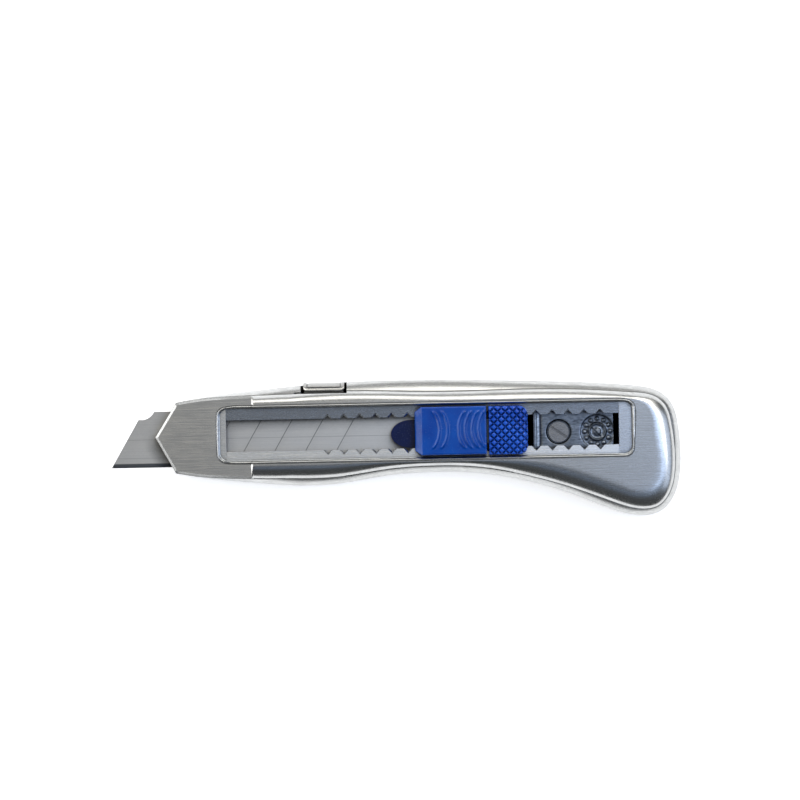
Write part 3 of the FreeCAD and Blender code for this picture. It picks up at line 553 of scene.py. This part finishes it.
def front_shell_ring():
    """The cast front half as one closed ring round the window.

    Each outline point carries a profile: up the flank, over a rim between a straight slope and a quarter
    ellipse, through a fine crease, up the crowned panel (a quarter ellipse of width 'crown'), across the
    face, over the window's bead, down the window wall and back through the hollow. On the nose the crown is
    a narrow chamfer up to the flat plate. Widths along the back and the belly are mixed by 'share', an
    S-curve in y that is 1 along the back.
    """
    outline, inward, edge = shell_paths()
    x, y = outline.T
    reach = np.hypot(*(edge - outline).T)
    across = (edge - outline) / reach[:, None]
    ramp_in = np.clip((x - RIM_START_X) / RIM_GROWTH, 0, 1)
    top_rim = TOP_RIM + TOP_SWELLING[0] * bell(x, *TOP_SWELLING[1:])
    low_rim = LOW_RIM
    for height, middle, width in LOW_SWELLINGS:
        low_rim = low_rim + height * bell(x, middle, width)
    share = 1 / (1 + np.exp(-(y - SIDE_CHANGE_Y) / SIDE_CHANGE_SOFT))
    rim = ramp_in * (share * top_rim + (1 - share) * low_rim)
    nose = x < PLATE_END_X
    face = np.where(nose, PLATE_Z, FACE_Z)
    heel = np.clip((x - HEEL_START_X) / HEEL_GROWTH, 0, 1) * (1 - share)
    room = reach - rim - FACE_MARGIN
    wanted = share * (TOP_CROWN + HEEL_CROWN * heel) + (1 - share) * LOW_CROWN
    # a smooth minimum of the two
    crown = (room ** -MINIMUM_SHARPNESS + wanted ** -MINIMUM_SHARPNESS) ** (-1 / MINIMUM_SHARPNESS)
    crown = np.where(nose, NOSE_CROWN, crown)
    cut_short = CROWN_TURN - CROWN_TURN_LESS * share * np.clip((x - TURN_START_X) / TURN_GROWTH, 0, 1)
    rows = []

    def row(distance, z):
        """One ring: each outline point moved in by a distance, its path turning from normal to across."""
        distance = np.clip(distance, 0, reach)
        turn = np.clip(distance / np.minimum(ACROSS_REACH, ACROSS_SHARE * reach), 0, 1)
        turn = (turn ** 2 * (3 - 2 * turn))[:, None]
        flat = outline + distance[:, None] * ((1 - turn) * inward + turn * across)
        rows.append(np.column_stack([flat, np.broadcast_to(z, x.shape)]))

    for inset, z in FLANK:
        row(0 * x + inset, z)
    for t in np.linspace(0, 1, RIM_STEPS):
        bend = math.pi / 2 * t
        rounded = RIM_ROUND + RIM_ROUND_TOP * share
        out = (1 - rounded) * t + rounded * (1 - math.cos(bend))
        up = (1 - rounded) * t + rounded * math.sin(bend)
        row(rim * out, EDGE_Z + (CREASE_Z - EDGE_Z) * up)
    row(rim + CREASE_MIDDLE, CREASE_Z - CREASE_DEPTH * ramp_in)
    start = np.where(nose, face - NOSE_CHAMFER_DEPTH, CREASE_Z)
    for t in np.linspace(0, 1, CROWN_STEPS):
        lift = np.where(nose, t, np.sqrt((1 - (1 - cut_short * t) ** 2) / (1 - (1 - cut_short) ** 2)))
        row(rim + CREASE_WIDTH + crown * t, start + (face - start) * lift)
    rest = reach - BEAD_MARGIN - (rim + CREASE_WIDTH + crown)
    for t in np.linspace(0, 1, FACE_STEPS)[1:]:
        row(rim + CREASE_WIDTH + crown + rest * t, face + 0 * x)
    for inside, lift in BEAD:
        row(reach - inside, face + lift)
    row(reach, RAIL_TOP_Z + LIFT_OFF)
    window_low, window_high = np.array(WINDOW[0::2]), np.array(WINDOW[1::2])
    outward = edge - (window_low + window_high) / 2
    half = (window_high - window_low) / 2
    grown = (edge - outward) + outward * (half + HOLLOW_GAP) / half
    rows.append(np.column_stack([grown, np.full(len(x), RAIL_TOP_Z + LIFT_OFF)]))
    rows.append(np.column_stack([grown, np.full(len(x), PART_Z + LIFT_OFF)]))
    points = np.stack(rows)
    count, around = points.shape[:2]
    faces = grid_faces(count, around, wrap_rows=True, wrap_columns=True)
    shell = make_mesh("front_shell_casting", points.reshape(-1, 3), faces, satin_zinc, 40)
    cut_away(shell, [make_mesh(name, *box_points(*box), cast_zinc_inside) for name, box in SHELL_CUTS])
    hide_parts("front_shell")
    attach(shell, "handle")


front_shell_ring()


# ---------------------------------------------------------------- slider, pad, clamp plate and button
END_STATIONS = (0, 0.12, 0.3, 0.55, 1.0)          # shares of a rounded edge's radius
WIDTH_AT = 5.0                # a block's plan is measured this far from its high end


def sagitta(gap, radius):
    """How much a rounded edge of this radius has fallen at a distance in from the edge."""
    return radius - np.sqrt(radius ** 2 - np.clip(radius - gap, 0, radius) ** 2)


def stations(low, high, fine, spacing):
    """Values from low to high: close together within 'fine' of both ends, evenly spaced between."""
    near = np.array(END_STATIONS) * fine
    middle = np.linspace(low + fine, high - fine, max(2, int((high - low - 2 * fine) / spacing)))
    return np.concatenate([low + near[:-1], middle, high - near[:-1][::-1]])


def relief_block(x_range, side_low, side_high, top, foot_z, edge_r, spacing):
    """Points and faces of a block whose top is a height field, with upright sides and a flat foot.

    Columns run from side_low(x) to side_high(x). The height top(x, y) is lowered near every side by the
    sagitta of a circle of radius edge_r, which rounds the edge.
    """
    width = side_high(x_range[1] - WIDTH_AT) - side_low(x_range[1] - WIDTH_AT)
    across = stations(0.0, width, edge_r, spacing) / width
    x = stations(*x_range, edge_r, spacing)[:, None] * np.ones(len(across))
    low, high = side_low(x), side_high(x)
    y = low + (high - low) * across
    gap = np.minimum(np.minimum(x - x_range[0], x_range[1] - x), np.minimum(y - low, high - y))
    z = top(x, y) - sagitta(gap, edge_r)
    points = np.stack([x, y, z], axis=-1)
    rows, columns = x.shape
    index = np.arange(rows * columns).reshape(rows, columns)
    rim = np.concatenate([index[0, :-1], index[:-1, -1], index[-1, :0:-1], index[:0:-1, 0]])
    foot = points.reshape(-1, 3)[rim].copy()
    foot[:, 2] = foot_z
    first = rows * columns
    ring = np.arange(len(rim))
    following = (ring + 1) % len(rim)
    walls = np.stack([rim, rim[following], first + following, first + ring], axis=1)
    faces = [*grid_faces(rows, columns)[:, ::-1], *walls, first + ring]
    return np.concatenate([points.reshape(-1, 3), foot]), faces


def join_boxes(points, faces, *boxes):
    """Adds plain boxes, such as hidden stems, to a piece's points and faces."""
    points, faces = [points], list(faces)
    count = len(points[0])
    for box in boxes:
        corners, sides = box_points(*box)
        points.append(np.array(corners))
        faces += [np.array(side) + count for side in sides]
        count += len(corners)
    return np.concatenate(points), faces


SLIDER_X = (83.6, 106.5)
SLIDER_Y = (-7.3, 8.1)
SLIDER_FRONT_Z = 15.7         # top of the front edge, where the rake starts
SLIDER_TOP_Z = 19.1
SLIDER_FOOT_Z = 15.0
RAKE_LENGTH = 2.3
CUT_LENGTH = 2.0              # the front corners are cut off this far back and this far in
CUT_DEPTH = 1.5
THUMB_HOLLOW = (0.35, 95.5, 7.0)        # depth, middle and width
RIB_Y = 0.75                  # middle of the ribs' length
RIB_HALF = 5.8                # half of it
RIB_R = 9.7
RIB_HEIGHT = 0.5
RIB_HALF_WIDTH = 0.38
RIB_END_SOFT = 0.18
RIBS = (                      # middle, and the side it bulges to
    (91.4, 1), (94.05, 1), (97.5, -1), (99.6, -1), (101.8, -1), (103.9, -1),
)
# the neck through the slot, and the shallower block behind it
SLIDER_STEMS = ((84.8, 98.5, -4.75, 4.75, 12.52, 15.1), (98.6, 106.2, -4.7, 4.7, 13.66, 15.1))


def slider_top(x, y):
    """A raked front, a shallow hollow for the thumb, and raised arcs of radius RIB_R with rounded ends."""
    rake = np.clip((x - SLIDER_X[0]) / RAKE_LENGTH, 0, 1)
    z = SLIDER_FRONT_Z + (SLIDER_TOP_Z - SLIDER_FRONT_Z) * rake
    z = z - THUMB_HOLLOW[0] * bell(x, *THUMB_HOLLOW[1:]) * (rake == 1)
    ends = 1 / (1 + np.exp((np.abs(y - RIB_Y) - RIB_HALF) / RIB_END_SOFT))
    for middle, side in RIBS:
        centre = middle - side * RIB_R
        off = np.hypot(x - centre, y - RIB_Y) - RIB_R
        z = z + RIB_HEIGHT * bell(off, 0, RIB_HALF_WIDTH) * ends * ((x - centre) * side > 0)
    return z


def thumb_slider():
    """The blue thumb piece, with its neck down through the slot to the carrier."""
    def cut_corner(x):
        """How far a side is cut in near the front, falling in a straight line to nothing."""
        return CUT_DEPTH * np.clip(1 - (x - SLIDER_X[0]) / CUT_LENGTH, 0, 1)

    points, faces = relief_block(
        SLIDER_X, lambda x: SLIDER_Y[0] + cut_corner(x), lambda x: SLIDER_Y[1] - cut_corner(x),
        slider_top, SLIDER_FOOT_Z, edge_r=0.45, spacing=0.16)
    points, faces = join_boxes(points, faces, *SLIDER_STEMS)
    made = make_mesh("thumb_slider_moulding", points, faces, slider_blue, 40)
    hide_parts("thumb_slider")
    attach(made, "slider")


PAD_X = (107.3, 119.8)
PAD_Y = (-7.5, 8.05)
PAD_TOP_Z = 18.6
PAD_FOOT_Z = 15.95
PAD_CORNER_R = 2.8            # the two rear corners
PAD_CORNER_SHARE = 0.98       # less than 1, which pulls the straight sides in a hair
PAD_FALL = (1.3, 4.0)         # drop towards the rear, and the length it takes
PAD_SIDE_FALL = (0.35, 5.0, 2.5)        # drop at the sides, where it starts and the width it takes
PAD_MIDDLE_Y = 0.5
KNURL = 1.75                  # distance between the grooves of one hand
KNURL_HEIGHT = 0.8
GROOVE_FLOOR = 0.1            # flat floor, as a share of the way from a groove to a pyramid's middle
GROOVE_FLANK = 0.3            # the steep flank's share of it
PYRAMID_TOP = 0.25            # share of the height that is left for the nearly flat top
PAD_STEM = (108.5, 117.8, -4.2, 4.2, 13.66, 16.2)


def pad_top(x, y):
    """A crown that falls away at the rear, with small pyramids between two families of 45-degree grooves.

    Each family is a sawtooth of the distance across it. A pyramid's height follows the nearer groove,
    steeply at first and then gently, so its top is nearly flat.
    """
    fall = np.clip((x - (PAD_X[1] - PAD_FALL[1])) / PAD_FALL[1], 0, 1)
    sides = np.clip((np.abs(y - PAD_MIDDLE_Y) - PAD_SIDE_FALL[1]) / PAD_SIDE_FALL[2], 0, 1)
    z = PAD_TOP_Z - PAD_FALL[0] * fall ** 2 - PAD_SIDE_FALL[0] * sides ** 2
    saw_a = np.abs(((x + y) / math.sqrt(2) / KNURL) % 1 - 0.5) * 2
    saw_b = np.abs(((x - y) / math.sqrt(2) / KNURL) % 1 - 0.5) * 2
    depth = 1 - np.maximum(saw_a, saw_b)
    flank = np.clip((depth - GROOVE_FLOOR) / GROOVE_FLANK, 0, 1)
    dome = np.clip(depth / (1 - GROOVE_FLOOR), 0, 1)
    pyramid = (1 - PYRAMID_TOP) * flank + PYRAMID_TOP * dome
    return z + KNURL_HEIGHT * pyramid - KNURL_HEIGHT / 2


def lock_pad():
    """The knurled release pad, with rounded rear corners and a stem down to the notch spring."""
    def round_corner(x):
        """How far a side comes in near the rear: the sagitta of a circle."""
        past = np.clip(x - (PAD_X[1] - PAD_CORNER_R), 0, PAD_CORNER_R)
        return PAD_CORNER_R - np.sqrt(PAD_CORNER_R ** 2 - past ** 2) * PAD_CORNER_SHARE

    points, faces = relief_block(
        PAD_X, lambda x: PAD_Y[0] + round_corner(x), lambda x: PAD_Y[1] - round_corner(x),
        pad_top, PAD_FOOT_Z, edge_r=0.4, spacing=0.13)
    points, faces = join_boxes(points, faces, PAD_STEM)
    made = make_mesh("lock_pad_moulding", points, faces, pad_blue, 25)
    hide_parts("lock_pad")
    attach(made, "pad")


CLAMP_X = (121.7, 147.6)
CLAMP_Y = (-9.2, 8.8)
CLAMP_FOOT_Z = 9.4
CLAMP_TOP_Z = 10.4
CLAMP_SCREW = (129.9, -0.7)
CLAMP_RIB = (0.5, 1.1)        # height of the front rib and its width
CLAMP_RIB_GROOVE = (0.2, 2.0, 0.5)      # groove behind it: depth, distance from the front, half width
COUNTERBORE_R = 3.9
COUNTERBORE_DEPTH = 0.45
DIAL = (142.4, -0.8)          # middle of the round date mark
DIAL_R = 5.4
DIAL_DEPTH = 0.55
DIAL_RING_R = 2.6
DIAL_RING = (0.65, 0.34)      # height and half width
DIAL_HUB_R = 1.1
DIAL_HUB_HEIGHT = 0.5
DIAL_BAR = (0.3, 0.3, 2.3)    # height, half width and reach from the middle
DIAL_DOTS = 12
DIAL_DOT_R = 0.78
DIAL_DOT_HEIGHT = 0.75
DIAL_DOT_CIRCLE_R = 4.15
STEP_LIMIT = 40               # keeps the exponential in range


def step(value, at, soft):
    """An S-curve that rises from 0 to 1 as the value falls below 'at'."""
    return 1 / (1 + np.exp(np.clip((value - at) / soft, -STEP_LIMIT, STEP_LIMIT)))


def clamp_top(x, y):
    """The clamp plate's casting: a front rib, the screw's counterbore, and the date mark's sunk disc.

    The date mark has a rounded ring, a hub with an arrow bar and a circle of domed dots.
    """
    z = CLAMP_TOP_Z + CLAMP_RIB[0] * step(x, CLAMP_X[0] + CLAMP_RIB[1], 0.06)
    z = z - CLAMP_RIB_GROOVE[0] * bell(x, CLAMP_X[0] + CLAMP_RIB_GROOVE[1], CLAMP_RIB_GROOVE[2])
    from_screw = np.hypot(x - CLAMP_SCREW[0], y - CLAMP_SCREW[1])
    z = z - COUNTERBORE_DEPTH * step(from_screw, COUNTERBORE_R, 0.08)
    dx, dy = x - DIAL[0], y - DIAL[1]
    r = np.hypot(dx, dy)
    z = z - DIAL_DEPTH * step(r, DIAL_R, 0.08) + DIAL_RING[0] * bell(r, DIAL_RING_R, DIAL_RING[1])
    z = z + DIAL_HUB_HEIGHT * step(r, DIAL_HUB_R, 0.12)
    off_bar = np.abs(dx + dy) / math.sqrt(2)
    z = z + DIAL_BAR[0] * step(off_bar, DIAL_BAR[1], 0.06) * step(r, DIAL_BAR[2], 0.1)
    sector = 2 * math.pi / DIAL_DOTS
    turn = np.arctan2(dy, dx)
    near = sector * np.round(turn / sector)
    d = np.hypot(dx - DIAL_DOT_CIRCLE_R * np.cos(near), dy - DIAL_DOT_CIRCLE_R * np.sin(near))
    return z + DIAL_DOT_HEIGHT * np.sqrt(np.clip(1 - (d / DIAL_DOT_R) ** 2, 0, 1))


def clamp_plate():
    """The cast plate behind the blade, which the slotted screw presses down."""
    points, faces = relief_block(
        CLAMP_X, lambda x: CLAMP_Y[0] + 0 * x, lambda x: CLAMP_Y[1] + 0 * x,
        clamp_top, CLAMP_FOOT_Z, edge_r=0.2, spacing=0.1)
    made = make_mesh("clamp_plate_casting", points, faces, cast_zinc_inside, 30)
    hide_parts("clamp_plate")
    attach(made, "handle")


BUTTON_LOW_Y = 13.85
BUTTON_TOP_Y = 16.75
BUTTON_HIGH_Z = 13.15
BUTTON_LOW_Z = 8.45
BUTTON_CORNER_R = 1.1
BUTTON_EDGE_R = 0.3
BORDER_WIDTH = 1.25           # the raised U-shaped border ends in a groove this far in
GROOVE_DEPTH = 0.38
GROOVE_HALF_WIDTH = 0.17
BAR_SINK = 0.10               # the bar inside the border stands this much lower
ARC_STEPS = 46
# flange that keeps the button in, body between flange and shoulder, and leg down to the hook
BUTTON_BOXES = (
    (46.2, 62.8, 12.0, 12.9, 8.45, 12.3),
    (48.2, 60.8, 12.8, 14.4, 8.6, 12.0),
    (52.2, 56.8, 12.0, 12.9, 5.7, 8.5),
)


def catch_button():
    """The catch button: a quarter-ellipse shoulder swept along the edge, with a raised border and a bar.

    The groove between border and bar follows the distance from the nearest of the two ends and the inner
    side.
    """
    x = stations(*BUTTON, 0.5, 0.12)[:, None]
    turn = np.linspace(0, math.pi / 2, ARC_STEPS)[None, :]
    x = x * np.ones(turn.shape)
    turn = turn * np.ones(x.shape)
    end = np.minimum(x - BUTTON[0], BUTTON[1] - x)
    corner = sagitta(end, BUTTON_CORNER_R)
    run = (BUTTON_TOP_Y - BUTTON_LOW_Y) * np.sin(turn)
    away = np.minimum(end, run)
    groove = GROOVE_DEPTH * bell(away, BORDER_WIDTH, GROOVE_HALF_WIDTH) + BAR_SINK * (away > BORDER_WIDTH)
    sink = groove + sagitta(away, BUTTON_EDGE_R)
    y = BUTTON_LOW_Y + corner * np.cos(turn) + run - sink * np.sin(turn)
    z = BUTTON_LOW_Z + (BUTTON_HIGH_Z - BUTTON_LOW_Z) * np.cos(turn) - sink * np.cos(turn)
    top = np.stack([x, y, z], axis=-1)
    inner = top[:, :1].copy()
    inner[..., 2] = BUTTON_LOW_Z
    wrapped = np.concatenate([inner, top], axis=1)
    rows, columns = wrapped.shape[:2]
    ends = [np.arange(columns)[::-1], np.arange(columns) + (rows - 1) * columns]
    faces = [*grid_faces(rows, columns, wrap_columns=True)[:, ::-1], *ends]
    points, faces = join_boxes(wrapped.reshape(-1, 3), faces, *BUTTON_BOXES)
    made = make_mesh("catch_button_casting", points, faces, button_zinc, 30)
    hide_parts("catch_button")
    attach(made, "catch")


thumb_slider()
lock_pad()
clamp_plate()
catch_button()


# ---------------------------------------------------------------- floor, lights, camera
FLOOR_HALF = 3.0              # metres
FLOOR_Z = -0.0002             # metres, just under the knife
FLOOR_GLOW = 0.66             # what the white sweep adds to the light that it scatters
ROOM_COLOUR = (0.9, 0.95, 1.0, 1)
ROOM_STRENGTH = 0.08
# soft boxes that all point at the knife: name, place in metres, width, height, power in watts, colour
LIGHTS = (
    ("spine_softbox", (0.0, 1.0, 0.95), 2.2, 0.7, 12.0, "#FFFDF8"),
    ("nose_softbox", (-1.2, 0.15, 0.42), 1.5, 0.8, 11.0, "#FFFFFF"),
    ("spine_high_box", (0.8, 0.62, 1.25), 1.5, 0.3, 6.0, "#FFFDF8"),
    ("far_wall_card", (0.0, 2.0, 0.6), 4.0, 1.2, 6.0, "#FFFFFF"),
    ("overhead_softbox", (-0.1, 0.2, 1.6), 0.9, 0.5, 0.82, "#FFFAF0"),
    ("edge_side_panel", (0.1, -0.5, 1.35), 1.2, 0.3, 0.25, "#A8CCFF"),
    ("heel_sky_panel", (0.62, 0.1, 1.35), 0.7, 0.8, 4.2, "#C4DAFF"),
    ("heel_softbox", (1.3, -0.1, 0.8), 0.9, 1.0, 4.0, "#D4E4FF"),
)
LENS_MM = 180.0
SENSOR_MM = 36.0
VIEW_WIDTH = 257.2            # mm of the knife's length that the picture is wide
VIEW_Z = 14.0                 # height at which it is that wide
VIEW_MIDDLE = (79.0, 10.55, 0.0)
VIEW_ROLL = -1.12             # degrees


def studio():
    """A white sweep that glows a little, dim room light, and soft boxes round and above the knife."""
    paper, tree, shader = new_material("white_paper_sweep", Roughness=0.9, Emission_Strength=FLOOR_GLOW)
    shader.inputs["Emission Color"].default_value = (1, 1, 1, 1)
    mottle = grain(tree, (0.02, 0.02, 0.02))
    tree.links.new(ramp(tree, mottle, "#FAFAFA", "#FDFDFD"), shader.inputs["Base Color"])
    mesh = bpy.data.meshes.new("floor")
    plan = ((-1, -1), (1, -1), (1, 1), (-1, 1))
    mesh.from_pydata([(x * FLOOR_HALF, y * FLOOR_HALF, FLOOR_Z) for x, y in plan], [], [(0, 1, 2, 3)])
    mesh.materials.append(paper)
    floor = bpy.data.objects.new("floor", mesh)
    bpy.context.scene.collection.objects.link(floor)

    world = bpy.data.worlds.new("studio_air")
    world.use_nodes = True
    background = world.node_tree.nodes["Background"]
    background.inputs["Color"].default_value = ROOM_COLOUR
    background.inputs["Strength"].default_value = ROOM_STRENGTH
    bpy.context.scene.world = world

    for name, where, width, height, power, colour in LIGHTS:
        light = bpy.data.lights.new(name, "AREA")
        light.shape = "RECTANGLE"
        light.size = width
        light.size_y = height
        light.energy = power
        light.color = linear(colour)[:3]
        lamp = bpy.data.objects.new(name, light)
        lamp.location = where
        lamp.rotation_euler = (-Vector(where)).to_track_quat("-Z", "Y").to_euler()
        bpy.context.scene.collection.objects.link(lamp)


def camera():
    """Straight down on the knife with a long lens, rolled a little so that the heel stands higher."""
    lens = bpy.data.cameras.new("camera")
    lens.lens = LENS_MM
    lens.sensor_width = SENSOR_MM
    distance = VIEW_WIDTH * MM * LENS_MM / SENSOR_MM
    view = bpy.data.objects.new("camera", lens)
    middle = place(VIEW_MIDDLE)
    view.location = (middle[0], middle[1], distance + VIEW_Z * MM)
    view.rotation_euler = (0, 0, math.radians(VIEW_ROLL))
    bpy.context.scene.collection.objects.link(view)
    bpy.context.scene.camera = view


studio()
camera()
bpy.context.scene.view_settings.view_transform = "Standard"
